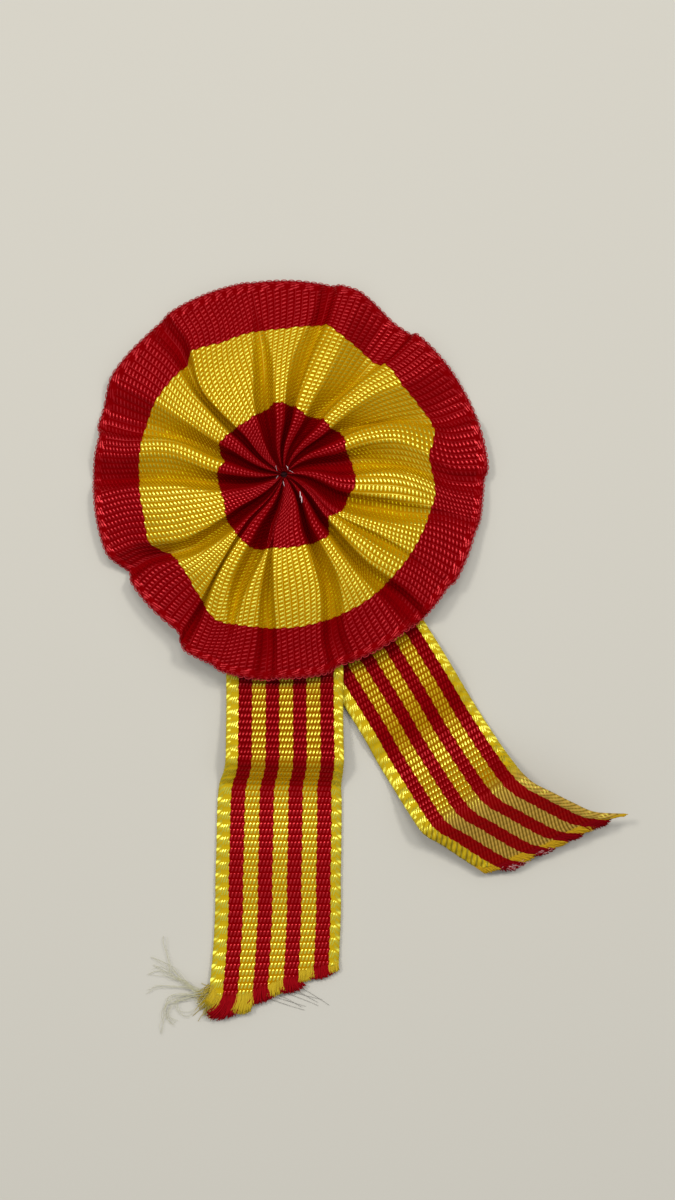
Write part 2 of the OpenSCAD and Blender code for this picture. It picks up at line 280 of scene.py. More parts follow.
def add_mesh(name, points, faces, uvs):
    """Object from points in mm, faces as lists of indices, and a weave coordinate for each face corner."""
    mesh = bpy.data.meshes.new(name)
    mesh.from_pydata((np.asarray(points) * MM).tolist(), [], faces)
    layer = mesh.uv_layers.new(name="weave")
    layer.data.foreach_set("uv", np.asarray(uvs, np.float32).ravel())
    mesh.polygons.foreach_set("use_smooth", [True] * len(mesh.polygons))
    mesh.update()
    return add_to_scene(name, mesh)


class Soup:
    """Faces gathered into one mesh, with a weave coordinate for each corner."""

    def __init__(self):
        self.points, self.faces, self.uvs, self.count = [], [], [], 0

    def add_points(self, points):
        """Adds points and gives the number of the first."""
        first = self.count
        flat = np.asarray(points, float).reshape(-1, 3)
        self.points.append(flat)
        self.count += len(flat)
        return first

    def add_faces(self, faces, uvs):
        """faces (n, k) of point numbers and uvs (n, k, 2)."""
        self.faces.extend(np.asarray(faces).tolist())
        self.uvs.append(np.asarray(uvs, float).reshape(-1, 2))

    def build(self, name):
        return add_mesh(name, np.concatenate(self.points), self.faces, np.concatenate(self.uvs))


# Corners of a grid's face in rows and columns, in the order that faces up, and in the order that faces down.
QUAD = ((0, 0), (1, 0), (1, 1), (0, 1))
QUAD_BELOW = ((0, 0), (0, 1), (1, 1), (1, 0))


def tube(soup, path, radius, sides, u=0.5, v=0.5):
    """Round thread along a path (n, 3); radius is a number or one for each point."""
    path = np.asarray(path, float)
    n = len(path)
    radius = np.broadcast_to(np.asarray(radius, float), (n,))
    tangent = unit(np.gradient(path, axis=0))
    side = np.cross(tangent[0], (0.3, 0.2, 1.0))
    a = (np.arange(sides) * 2 * math.pi / sides)[:, None]
    rings = []
    for i in range(n):
        side = unit(side - tangent[i] * (side @ tangent[i]))
        other = np.cross(tangent[i], side)
        rings.append(path[i] + radius[i] * (np.cos(a) * side + np.sin(a) * other))
    first = soup.add_points(rings)
    j = np.arange(sides)
    after = (j + 1) % sides
    starts = first + np.arange(n) * sides
    faces = [np.stack([a + j, a + after, b + after, b + j], 1) for a, b in zip(starts, starts[1:])]
    faces = np.concatenate(faces)
    soup.add_faces(faces, np.broadcast_to((u, v), (len(faces), 4, 2)))
    for cap in (starts[0] + j[::-1], starts[-1] + j):
        soup.add_faces([cap], np.broadcast_to((u, v), (1, sides, 2)))


def drop_loose_points(mesh):
    """Takes out the points that no face uses."""
    bm = bmesh.new()
    bm.from_mesh(mesh)
    loose = [vert for vert in bm.verts if not vert.link_faces]
    bmesh.ops.delete(bm, geom=loose, context="VERTS")
    bm.to_mesh(mesh)
    bm.free()


# Rosette

RIB_COUNT = 188
FEWEST_RIBS = 2
PER_RIB, BACK_PER_RIB = 6, 3
# Steps of a pleat's side from its crest (0) to its floor (1): where the top ends and the floor starts, and
# the share of the depth lost there.
CREST_END, FLOOR_START = 0.45, 0.8
CREST_DROP, FLOOR_DROP = 0.08, 0.84
# The two sides of each pleat, the one before its crest first.
SIDES = [(k, after) for k in range(len(PLEATS)) for after in (False, True)]
PROFILE_STEPS = np.linspace(0, 1, 61)
RIM_EASE_FROM = 0.3
# Share of the radius that the hole in the middle takes, the pleats' turn near it in degrees and its distance
# off centre, with the shares over which these two fade.
HOLE_SHARE = 0.016
SWIRL, SWIRL_SHARE = 14.0, 0.3
CENTRE_DRIFT, DRIFT_SHARE = 0.7, 0.35
# How far the rim settles and from which share on; then how far the tails lift it, at which angle, and over
# how many degrees to either side.
SETTLE, SETTLE_FROM = 0.35, 0.7
TAIL_LIFT, LIFT_ANGLE, LIFT_HALF = 2.7, 275.0, 75.0

# Rows of the mesh by ribbon width, closer in the gathers and along the woven edge.
GATHER_W, EDGE_W, BEAD_W = 6.0, 28.4, 28.9
RING_W = np.concatenate([
    np.linspace(0, GATHER_W, 17)[:-1],
    np.linspace(GATHER_W, EDGE_W, 37)[:-1],
    np.linspace(EDGE_W, RIBBON_W, 8),
])
BACK_RING_W = np.concatenate([np.linspace(0, GATHER_W, 9)[:-1], np.linspace(GATHER_W, RIBBON_W, 25)])

# Thickness of the cloth, and how it thins towards the middle: its least, and what it gains with the radius.
CLOTH_T, LEAST_T, T_PER_R = 0.42, 0.05, 0.06
# Ribs: their height as a share of their pitch, the widest pitch that counts, and how much flatter they are in
# the woven edge. All of the front lies this far inside the smooth surface.
RIB_RELIEF, WIDEST_RIB, EDGE_FLATTER = 0.075, 1.1, 0.6
FRONT_INSET = 0.07
GROOVE_W, GROOVE_HALF, GROOVE_DEPTH = 28.7, 0.16, 0.1
BEAD_HEIGHT, BEAD_FULL_W, BEAD_LAST_W = 0.14, 29.3, 29.7
BACK_RELIEF, BACK_RELIEF_R = 0.06, 8.0
# Edge loops: how far each starts inside the rim, half width as a share of the rib, reach, rise, tilt and the
# yarn's radius.
LOOP_INSET, LOOP_HALF, LOOP_REACH, LOOP_RISE, LOOP_TIP, LOOP_YARN = 0.14, 0.44, 0.3, 0.05, 0.08, 0.065


def rim_of(k, after, x):
    """Distance of the rim from the centre along a pleat's side."""
    top, valley = PLEATS[k][15], (PLEATS[k] if after else PLEATS[k - 1])[16]
    return top + (valley - top) * smooth_step(RIM_EASE_FROM, 1.0, x)


def stretch(rim, share):
    """Factor on the radius that takes the round rosette out, or in, to its uneven rim."""
    return 1 + (rim / ROSETTE_R - 1) * share**2


def share_of(w, x, k, after):
    """Share of the radius that ribbon width w reaches at step x of a pleat's side."""
    here, before = BANDS[k], BANDS[k - 1]
    rim = rim_of(k, after, x)
    shares = []
    for i in (0, 4):
        places = (here[i + 1], here[i + 2], here[i + 3]) if after else (here[i + 1], here[i], before[i + 3])
        radius = np.interp(x, (0, CREST_END, 1), places)
        share = radius / ROSETTE_R
        for _ in range(3):
            share = radius / (ROSETTE_R * stretch(rim, share))
        shares.append(share)
    centre, outer = shares
    in_centre = HOLE_SHARE + (centre - HOLE_SHARE) * (w / CENTRE_W)
    in_yellow = centre + (outer - centre) * ((w - CENTRE_W) / (YELLOW_W - CENTRE_W))
    in_rim = outer + (1 - outer) * ((w - YELLOW_W) / (RIBBON_W - YELLOW_W))
    return np.where(w < CENTRE_W, in_centre, np.where(w < YELLOW_W, in_yellow, in_rim))


def side_points(k, after, share, x):
    """Points of a pleat's side at shares of the radius and steps from its crest (0) to its floor (1)."""
    row = PLEATS[k]
    other = row if after else PLEATS[k - 1]
    turn = 360 if k == 0 and not after else 0
    start, end = (at_share(row[n:n + 3], share) for n in (0, 3))
    floor_start, floor_end = (at_share(other[n:n + 3], share) - turn for n in (6, 9))
    edge, foot = (end, floor_start) if after else (start, floor_end)
    crest, floor = (start + end) / 2, (floor_start + floor_end) / 2
    on_crest = part_of(x, 0, CREST_END)
    on_drop = part_of(x, CREST_END, FLOOR_START)
    on_floor = part_of(x, FLOOR_START, 1)
    angle = crest + (edge - crest) * on_crest + (foot - edge) * on_drop + (floor - foot) * on_floor
    angle = np.radians(angle + SWIRL * (1 - smooth_step(0.0, SWIRL_SHARE, share)))
    r = ROSETTE_R * share * stretch(rim_of(k, after, x), share)
    away = np.abs((np.degrees(angle) - LIFT_ANGLE + 540) % 360 - 180)
    lift = np.where(away < LIFT_HALF, TAIL_LIFT * np.cos(np.radians(away * 90 / LIFT_HALF)), 0) * share**2
    settle = SETTLE * smooth_step(SETTLE_FROM, 1.0, share)
    depth = at_share(other[12:15], share) * smooth_lookup(share, FULL_DEPTH)
    fall = CREST_DROP * on_crest**2 + (FLOOR_DROP - CREST_DROP) * on_drop + (1 - FLOOR_DROP) * on_floor
    z = smooth_lookup(share, TOP_HEIGHT) + lift - settle - depth * fall
    drift = CENTRE_DRIFT * (1 - smooth_step(0.0, DRIFT_SHARE, share))
    return np.stack([r * np.cos(angle), r * np.sin(angle) + drift, z], -1)


def rib_counts():
    """Whole ribs on the two sides of every pleat, by the sides' lengths at the rim and half way in."""
    lengths = np.zeros((2, len(SIDES)))
    for n, share in enumerate((MIDDLE, 1.0)):
        for side, (k, after) in enumerate(SIDES):
            points = side_points(k, after, np.full(len(PROFILE_STEPS), share), PROFILE_STEPS)
            lengths[n, side] = np.linalg.norm(np.diff(points, axis=0), axis=1).sum()
    exact = (lengths / lengths.sum(1, keepdims=True)).mean(0) * RIB_COUNT
    counts = np.maximum(FEWEST_RIBS, np.round(exact)).astype(int)
    while counts.sum() != RIB_COUNT:
        surplus = int(np.sign(counts.sum() - RIB_COUNT))
        error = (counts - exact) * surplus
        error[counts <= FEWEST_RIBS] = -np.inf
        counts[int(np.argmax(error))] -= surplus
    return counts


def rosette_grid(widths, per_rib):
    """Smooth surface on a grid of ribbon widths and rib steps, and the rib coordinate of each column."""
    w, x = np.meshgrid(widths, PROFILE_STEPS, indexing="ij")
    blocks = []
    for (k, after), ribs in zip(SIDES, rib_counts()):
        dense = side_points(k, after, share_of(w, x, k, after), x)
        length = np.linalg.norm(np.diff(dense, axis=1), axis=2)
        run = np.concatenate([np.zeros((len(widths), 1)), np.cumsum(length, 1)], 1)
        run /= run[:, -1:]
        goal = np.arange(ribs * per_rib) / (ribs * per_rib)
        goal = goal if after else 1 - goal
        steps = np.stack([np.interp(goal, row_run, PROFILE_STEPS) for row_run in run])
        w_here = np.broadcast_to(widths[:, None], steps.shape)
        blocks.append(side_points(k, after, share_of(w_here, steps, k, after), steps))
    points = np.concatenate(blocks, 1)
    return points, np.arange(points.shape[1]) / per_rib


def soften(points, times):
    """Evens out the creases along the ring a little."""
    for _ in range(times):
        points = 0.25 * np.roll(points, 1, 1) + 0.5 * points + 0.25 * np.roll(points, -1, 1)
    return points


def ring_normals(points):
    return facing_up(unit(soften(grid_normals(points, True), 3)))


def front_of_rosette():
    """The ribbed front, with a groove and a bead along its outer edge."""
    smooth, rib = rosette_grid(RING_W, PER_RIB)
    smooth = soften(smooth, 4)
    pitch = np.linalg.norm(np.roll(smooth, -1, 1) - smooth, axis=2) * PER_RIB
    pitch = soften(pitch[:, :, None], 6)[:, :, 0]
    w = RING_W[:, None]
    flatter = 1 - EDGE_FLATTER * smooth_step(EDGE_W, BEAD_W, w)
    ribs = cord(rib) * np.minimum(pitch, WIDEST_RIB) * RIB_RELIEF * flatter
    groove = -GROOVE_DEPTH * np.exp(-(((w - GROOVE_W) / GROOVE_HALF) ** 2))
    bead = smooth_step(BEAD_W, BEAD_FULL_W, w) * (1 - smooth_step(BEAD_LAST_W, RIBBON_W, w)) * BEAD_HEIGHT
    return smooth + ring_normals(smooth) * (ribs + groove + bead - FRONT_INSET)[:, :, None]


def back_of_rosette():
    """The back, whose ribs and thickness fade towards the gathers."""
    smooth, rib = rosette_grid(BACK_RING_W, BACK_PER_RIB)
    smooth = soften(smooth, 2)
    radius = np.linalg.norm(smooth[:, :, :2], axis=2, keepdims=True)
    thick = np.minimum(CLOTH_T, T_PER_R * radius + LEAST_T)
    ribs = BACK_RELIEF * np.cos(2 * math.pi * rib)[None, :, None] * np.minimum(1, radius / BACK_RELIEF_R)
    back = smooth - ring_normals(smooth) * (thick + ribs)
    back[..., 2] = np.maximum(back[..., 2], LOWEST)
    return back


def add_ring(soup, points, widths, per_rib, corners):
    """Faces of a closed ring of points (rows, columns, 3); gives the number of the first point."""
    rows, columns = points.shape[:2]
    first = soup.add_points(points)
    i, j = np.meshgrid(np.arange(rows - 1), np.arange(columns), indexing="ij")
    i, j = i.ravel(), j.ravel()
    places = [(i + di, j + dj) for di, dj in corners]
    faces = np.stack([a * columns + b % columns for a, b in places], 1)
    uvs = np.stack([np.stack([b / per_rib, widths[a]], 1) for a, b in places], 1)
    soup.add_faces(first + faces, uvs)
    return first


def close_ring(soup, front_row, back_row, width, outside):
    """Faces from a row of the front to one of the back, each given by the number of its first point."""
    ratio = PER_RIB // BACK_PER_RIB
    columns, back_columns = RIB_COUNT * PER_RIB, RIB_COUNT * BACK_PER_RIB
    for b in range(back_columns):
        steps = [b * ratio + s for s in range(ratio, -1, -1)]
        ids = [front_row + step % columns for step in steps]
        ids += [back_row + b, back_row + (b + 1) % back_columns]
        us = [step / PER_RIB for step in steps] + [b / BACK_PER_RIB, (b + 1) / BACK_PER_RIB]
        if not outside:
            ids, us = ids[::-1], us[::-1]
        soup.add_faces([ids], [[(u, width) for u in us]])


def make_edge_loops(front):
    """Loops of weft yarn along the outer edge, one for each rib."""
    loops = Soup()
    rim = front[-1]
    outward = unit(front[-1] - front[-4])
    a = np.linspace(-0.15, math.pi + 0.15, 7)[:, None]
    for n in range(RIB_COUNT):
        first, middle = n * PER_RIB, n * PER_RIB + PER_RIB // 2
        side = rim[(first + PER_RIB) % len(rim)] - rim[first]
        out = outward[middle]
        path = rim[middle] - LOOP_INSET * out + np.cos(a) * side * LOOP_HALF + np.sin(a) * out * LOOP_REACH
        path[:, 2] += LOOP_RISE - LOOP_TIP * np.cos(a[:, 0])
        tube(loops, path, LOOP_YARN, 5, n + 0.5, RIBBON_W - 0.1)
    return loops.build("rosette_edge_loops")


def make_rosette():
    """The gathered ribbon, front and back, and the loops along its edge."""
    front, back = front_of_rosette(), back_of_rosette()
    soup = Soup()
    top = add_ring(soup, front, RING_W, PER_RIB, QUAD)
    low = add_ring(soup, back, BACK_RING_W, BACK_PER_RIB, QUAD_BELOW)
    # The front and the back close round the rim and round the hole in the middle.
    top_rim = top + (front.shape[0] - 1) * front.shape[1]
    low_rim = low + (back.shape[0] - 1) * back.shape[1]
    close_ring(soup, top_rim, low_rim, RIBBON_W, outside=True)
    close_ring(soup, top, low, 0.0, outside=False)
    return soup.build("rosette_cloth"), make_edge_loops(front)


# Tails

TAIL_PER_RIB = 6
ACROSS_STEPS = 44
# Bunches the columns towards the two edges: the higher, the closer they are there.
EDGE_BUNCHING = 1.25
TAIL_T = 0.4
# Woven edges: half thickness, the least of it at their round sides, and the shares of the edge's width where
# it gives way to the cloth's and where the round side is full.
EDGE_HALF_T, EDGE_LEAST_T, EDGE_EASE, EDGE_ROUND = 0.34, 0.02, 0.75, 0.8
TAIL_MIDDLE_LOWEST = 0.47
TAIL_RIB_H, TAIL_BACK_RIB_H, TAIL_EDGE_FLATTER = 0.055, 0.1, 0.8
# In the woven edges every other rib stands out by this much.
EDGE_WAVE = 0.05


def stripe_at(v):
    """Number of the stripe at a place across the ribbon, 0 to 8, odd numbers red."""
    return np.clip(np.floor((v - LEFT_EDGE_W) / STRIPE_W) + 1, 0, LAST_STRIPE).astype(int)


def cut_at(v, table, unevenness):
    """Length of the cloth at a place across, a little uneven from stripe to stripe."""
    steps = np.random.default_rng(len(table)).uniform(-1, 1, LAST_STRIPE + 1) * unevenness
    return np.interp(v, column(table, 0), column(table, 1)) + steps[stripe_at(v)]


def tail_surface(table):
    """Middle of the cloth on a grid of ribs and places across, both of them, and the uncut tail's length."""
    fine = np.linspace(0, len(table) - 1, 1200)
    x, y, _, left_z, right_z, arch, _ = eased_rows(table, fine).T
    centre = np.stack([x, y, (left_z + right_z) / 2 + arch], 1)
    run = np.concatenate([[0], np.cumsum(np.linalg.norm(np.diff(centre, axis=0), axis=1))])
    length = run[-1]
    ribs = int(round(length / TAIL_PITCH))
    along = np.arange(ribs * TAIL_PER_RIB + 1) / TAIL_PER_RIB
    sections = eased_rows(table, np.interp(along / ribs * length, run, fine))
    x, y, turn, left_z, right_z, arch, share = sections.T[:, :, None]
    across = np.sin(np.linspace(-1, 1, ACROSS_STEPS + 1) * EDGE_BUNCHING) / math.sin(EDGE_BUNCHING)
    turn = np.radians(turn)
    half = TAIL_W * share / 2 * across
    z = left_z + (right_z - left_z) * (1 + across) / 2 + arch * (1 - across**2)
    z = np.maximum(TAIL_MIDDLE_LOWEST, z)
    middle = np.stack([x + half * np.cos(turn), y + half * np.sin(turn), z], -1)
    return middle, along, (across + 1) / 2 * TAIL_W, length


def tail_sides(middle, normal, along, v):
    """Front and back of the cloth: ribs, and thicker round edges where every other rib stands out."""
    to_edge = np.minimum(v, TAIL_W - v)
    edge_w = np.where(v < TAIL_W / 2, LEFT_EDGE_W, RIGHT_EDGE_W)
    in_edge = 1 - smooth_step(edge_w * EDGE_EASE, edge_w, to_edge)
    roundness = np.sqrt(1 - (1 - part_of(to_edge, 0, edge_w * EDGE_ROUND)) ** 2)
    half_t = TAIL_T / 2 * (1 - in_edge) + in_edge * (EDGE_HALF_T * roundness + EDGE_LEAST_T)
    rib = cord(along)[:, None]
    wave = -EDGE_WAVE * np.cos(math.pi * along)[:, None]
    flatter = 1 - TAIL_EDGE_FLATTER * in_edge
    front = middle + normal * (half_t + TAIL_RIB_H * rib * flatter + wave * in_edge)[..., None]
    back = middle - normal * (half_t + TAIL_BACK_RIB_H * (1 - rib) * flatter)[..., None]
    back[..., 2] = np.maximum(back[..., 2], LOWEST)
    return front, back


def make_tail(name, table, cut, unevenness):
    """A cut length of striped ribbon: the piece, and what the yarns at its cut end need to know of it."""
    middle, along, v, length = tail_surface(table)
    normal = facing_up(grid_normals(middle, False))
    front, back = tail_sides(middle, normal, along, v)
    rows, columns = middle.shape[:2]
    keep_to = cut_at(v, cut, unevenness) / length * (rows - 1)
    soup = Soup()
    top, low = soup.add_points(front), soup.add_points(back)
    i, j = np.meshgrid(np.arange(rows - 1), np.arange(columns - 1), indexing="ij")
    kept = i + 1 <= np.minimum(keep_to[:-1], keep_to[1:])
    corners = [(i[kept] + di, j[kept] + dj) for di, dj in QUAD]
    ids = [a * columns + b for a, b in corners]
    uvs = [np.stack([a / TAIL_PER_RIB, v[b]], 1) for a, b in corners]
    soup.add_faces(top + np.stack(ids, 1), np.stack(uvs, 1))
    soup.add_faces(low + np.stack(ids[::-1], 1), np.stack(uvs[::-1], 1))

    # Walls where the cloth ends: for each face without a neighbour on a side, the two corners on that side.
    padded = np.zeros((rows + 1, columns + 1), bool)
    padded[1:-1, 1:-1] = kept
    walls, wall_uvs = [], []
    for di, dj, first, second in ((-1, 0, 3, 0), (1, 0, 1, 2), (0, -1, 0, 1), (0, 1, 2, 3)):
        neighbour = padded[1 + di:rows + di, 1 + dj:columns + dj]
        for a, b in zip(*np.nonzero(kept & ~neighbour)):
            (i1, j1), (i2, j2) = ((a + QUAD[n][0], b + QUAD[n][1]) for n in (first, second))
            n1, n2 = i1 * columns + j1, i2 * columns + j2
            uv1, uv2 = (i1 / TAIL_PER_RIB, v[j1]), (i2 / TAIL_PER_RIB, v[j2])
            walls.append([top + n2, top + n1, low + n1, low + n2])
            wall_uvs.append([uv2, uv1, uv1, uv2])
    soup.add_faces(walls, wall_uvs)
    obj = soup.build(name)
    drop_loose_points(obj.data)
    return obj, (middle, normal, keep_to, v)


# Loose yarns

# Rows of the tail's mesh over which the direction at its cut is measured.
CUT_ROWS = 4
# Distance between the yarns across the cut, and the height of each layer with how deep its yarns are rooted.
YARN_STEP = 0.075
YARN_LAYERS = ((0.27, 0.55), (0.21, 0.4), (0.13, 0.3), (0.03, 0.2), (-0.11, 0.2))
YARN_RADII = np.array([0.05, 0.075, 0.08, 0.075, 0.05])
LINT_RADII = np.array([0.02, 0.035, 0.035, 0.03, 0.015])
# Places across the right tail where pale fibres lie, from and to, and how many.
LINT = ((1.9, 4.1, 34), (6.2, 7.4, 14))

# Ways of the loose yarns that stand away from the left tail's corner.
FRAY_FROM = np.array([-10.2, -68.6, 0.7])
FRAY_WAYS = (
    ((-11.3, -68.4), (-13.2, -67.3), (-14.9, -66.2), (-15.4, -64.2), (-15.6, -62.5), (-15.8, -61.4)),
    ((-11.3, -68.4), (-13.2, -67.3), (-14.7, -66.3), (-16.2, -65.5), (-17.4, -65.2)),
    ((-11.4, -68.6), (-13.1, -67.5), (-15.0, -66.6), (-16.8, -66.0), (-18.1, -66.2)),
    ((-11.3, -68.3), (-12.8, -67.3), (-14.5, -66.0), (-16.1, -64.7), (-17.5, -64.2)),
    ((-11.4, -68.3), (-13.3, -67.8), (-15.4, -67.6), (-17.1, -67.8), (-18.3, -68.6)),
    ((-11.1, -70.1), (-11.9, -69.1), (-13.1, -68.9), (-14.2, -69.8), (-14.0, -71.0), (-12.8, -71.3),
     (-11.6, -70.5)),
    ((-11.9, -68.6), (-13.6, -68.6), (-15.2, -69.2), (-15.9, -70.5), (-15.6, -72.0), (-14.6, -72.7)),
    ((-11.8, -68.8), (-13.8, -69.1), (-15.5, -69.9), (-16.2, -71.3), (-16.0, -72.6), (-16.1, -73.8)),
    ((-11.8, -69.1), (-13.6, -69.4), (-15.0, -70.4), (-15.3, -71.7), (-14.4, -72.4)),
)
STRANDS_PER_WAY, FRAY_STEPS = 3, 22
CORNER_AT, CORNER_YARNS = np.array([-9.3, -68.6, 0.75]), 260
HAIR_COUNT = 7
YARN_LOWEST, FRAY_LOWEST, HAIR_LOWEST = 0.09, 0.07, 0.04


def make_brush_ends(name, data, tufts, red_flare, yellow_flare):
    """Loose yarn ends past the cut of a tail: one piece for the yellow stripes and one for the red."""
    middle, normal, keep_to, v = data
    random = np.random.default_rng(len(name))
    yellow, red = Soup(), Soup()
    for place in np.arange(0.2, TAIL_W - 0.15, YARN_STEP):
        j = np.interp(place, v, np.arange(len(v)))
        j0 = int(j)
        f = j - j0
        row = min(int(np.interp(place, v, keep_to)), middle.shape[0] - 2)
        here, behind = (middle[n, j0] * (1 - f) + middle[n, j0 + 1] * f for n in (row, row - CUT_ROWS))
        along = unit(here - behind)
        side = unit(middle[row, j0 + 1] - middle[row, j0])
        up = normal[row, j0]
        stripe = int(stripe_at(place))
        stripe_middle = LEFT_EDGE_W + (stripe - 0.5) * STRIPE_W
        spread = (place - stripe_middle) / STRIPE_W if 0 < stripe < LAST_STRIPE else 0
        soup, flare = (red, red_flare) if stripe % 2 else (yellow, yellow_flare)
        reach, lean = tufts[stripe]
        reach *= 1 - 1.3 * spread**2
        for height, into in YARN_LAYERS:
            into *= random.uniform(0.6, 1.2)
            start = here + up * height + side * random.uniform(-0.06, 0.06) - along * into
            long = reach * random.uniform(0.86, 1.08) + into
            aside = spread * flare + lean + random.uniform(-0.15, 0.15)
            bend = side * aside + up * (random.uniform(-0.1, 0.15) - 0.3 * height)
            path = bent_path(start, along * long, bend * long, len(YARN_RADII), YARN_LOWEST)
            tube(soup, path, YARN_RADII, 5, 0.5, place)
    return [yellow.build(name + "_ends_yellow"), red.build(name + "_ends_red")]


def make_fray():
    """Loose yarns and a short brush at the left tail's corner, and hair-thin ends beside its cut."""
    random = np.random.default_rng(3)
    yarns, brush, hairs = Soup(), Soup(), Soup()
    for way in FRAY_WAYS:
        heights = np.linspace(0.9, 0.3, len(way))
        for _ in range(STRANDS_PER_WAY):
            points = [FRAY_FROM + random.normal(0, 0.3, 3) * (1, 1, 0.5)]
            for (x, y), z in zip(way, heights):
                points.append(np.array((x, y, z)) + random.normal(0, 0.2, 3) * (1, 1, 0.4))
            path = eased_rows(points, np.linspace(0, len(way), FRAY_STEPS))
            path[:, 2] = np.maximum(path[:, 2], FRAY_LOWEST)
            tube(yarns, path, np.linspace(0.032, 0.014, FRAY_STEPS), 5)
    for _ in range(CORNER_YARNS):
        start = CORNER_AT + random.uniform(-1, 1, 3) * (0.7, 1.2, 0.4)
        angle = math.radians(random.uniform(190, 268))
        long = random.uniform(1.0, 2.5)
        out = np.array([math.cos(angle) * 0.8, math.sin(angle), random.uniform(-0.4, 0.2)])
        bend = random.normal(0, 0.2, 3) * (1, 1, 0.3)
        path = bent_path(start, out * long, bend * long, 6, FRAY_LOWEST)
        tube(brush, path, np.linspace(0.06, 0.03, 6), 5)
    for n in range(HAIR_COUNT):
        start = np.array([-2.4 + 0.7 * n, -69.2 + 0.25 * n, 0.25])
        long = random.uniform(3.5, 6.0)
        angle = math.radians(random.uniform(-32, -14))
        out = np.array([math.cos(angle), math.sin(angle), -0.02])
        bend = np.array([0.1, -0.25, 0]) * random.uniform(-0.6, 0.6)
        path = bent_path(start, out * long, bend * long, 12, HAIR_LOWEST)
        tube(hairs, path, np.linspace(0.025, 0.015, 12), 4)
    return yarns.build("tail_left_fray"), brush.build("tail_left_corner"), hairs.build("tail_left_hairs")


def make_lint(data):
    """Pale fibres lying over the ends of two of the right tail's red stripes."""
    middle, normal, keep_to, v = data
    random = np.random.default_rng(11)
    soup = Soup()
    for low, high, count in LINT:
        for _ in range(count):
            j = int(np.interp(random.uniform(low, high), v, np.arange(len(v))))
            row = min(int(keep_to[j]), middle.shape[0] - 2)
            here, up = middle[row, j], normal[row, j]
            along = unit(here - middle[row - CUT_ROWS, j])
            side = unit(middle[row, j + 1] - here)
            start = here + along * random.uniform(0.6, 1.7) + up * random.uniform(0.28, 0.4)
            out = side * random.uniform(0.5, 1.0) + along * random.uniform(-0.2, 0.3)
            out *= random.uniform(0.5, 1.1)
            bend = along * random.uniform(-0.2, 0.2)
            path = bent_path(start, out, bend, len(LINT_RADII), HAIR_LOWEST)
            tube(soup, path, LINT_RADII, 4, 0.5, 1.0)
    return soup.build("tail_right_lint")


# Sewing threads in the rosette's middle

KNOT_TURNS, KNOT_R, KNOT_RISE, KNOT_AT_Z, KNOT_YARN = 5, 0.34, 0.26, 4.15, 0.15
# Each stitch's angle, nearest and farthest distance from the middle, turn to either side, and thickness.
STITCHES = (
    (302.5, 4.1, 4.9, -3, 0.07), (306, 3.4, 4.2, -4, 0.06), (268, 1, 1.8, 4, 0.03),
    (205, 0.8, 1.3, 10, 0.02), (146, 1, 1.6, -12, 0.022), (60, 0.8, 1.2, 14, 0.035),
    (20, 0.8, 1.3, -16, 0.02),
)
STITCH_STEPS, STITCH_REACH, STITCH_ABOVE, STITCH_END_DROP = 8, 0.25, 0.04, 0.2


def make_knot():
    """Knot of a few crossing rings in the middle, near black: painted shade of the hole there."""
    random = np.random.default_rng(5)
    knot = Soup()
    a = np.linspace(0, 2 * math.pi, 14)
    for _ in range(KNOT_TURNS):
        turn = random.uniform(0, math.pi)
        level, rise = KNOT_R * math.cos(turn), KNOT_RISE * math.sin(turn)
        ring = [KNOT_R * np.cos(a), level * np.sin(a), rise * np.sin(a)]
        middle = (random.uniform(-0.1, 0.1), CENTRE_DRIFT + random.uniform(-0.1, 0.1), KNOT_AT_Z)
        tube(knot, np.stack(ring, 1) + middle, KNOT_YARN, 6)
    return knot.build("centre_knot")


def make_stitches(rosette):
    """Clear sewing thread that lies on the pleats round the middle."""
    verts = np.empty(len(rosette.data.vertices) * 3)
    rosette.data.vertices.foreach_get("co", verts)
    verts = verts.reshape(-1, 3) / MM
    stitches = Soup()
    for angle, near, far, turn, thick in STITCHES:
        r = np.linspace(near, far, STITCH_STEPS)
        a = np.radians(angle + turn * np.linspace(-1, 1, STITCH_STEPS))
        path = np.stack([r * np.cos(a), CENTRE_DRIFT + r * np.sin(a), np.zeros(STITCH_STEPS)], 1)
        for point in path:
            close = np.hypot(verts[:, 0] - point[0], verts[:, 1] - point[1]) < STITCH_REACH
            point[2] = verts[close, 2].max() + STITCH_ABOVE
        path[:, 2] = np.convolve(np.pad(path[:, 2], 1, mode="edge"), (0.25, 0.5, 0.25), "valid")
        path[[0, -1], 2] -= STITCH_END_DROP
        tube(stitches, path, thick, 6)
    return stitches.build("centre_stitches")


# Materials

def operation(kind):
    """Method that adds one math node of this kind and gives its output."""
    return lambda graph, *values, clamp=False: graph.math(kind, *values, clamp=clamp)


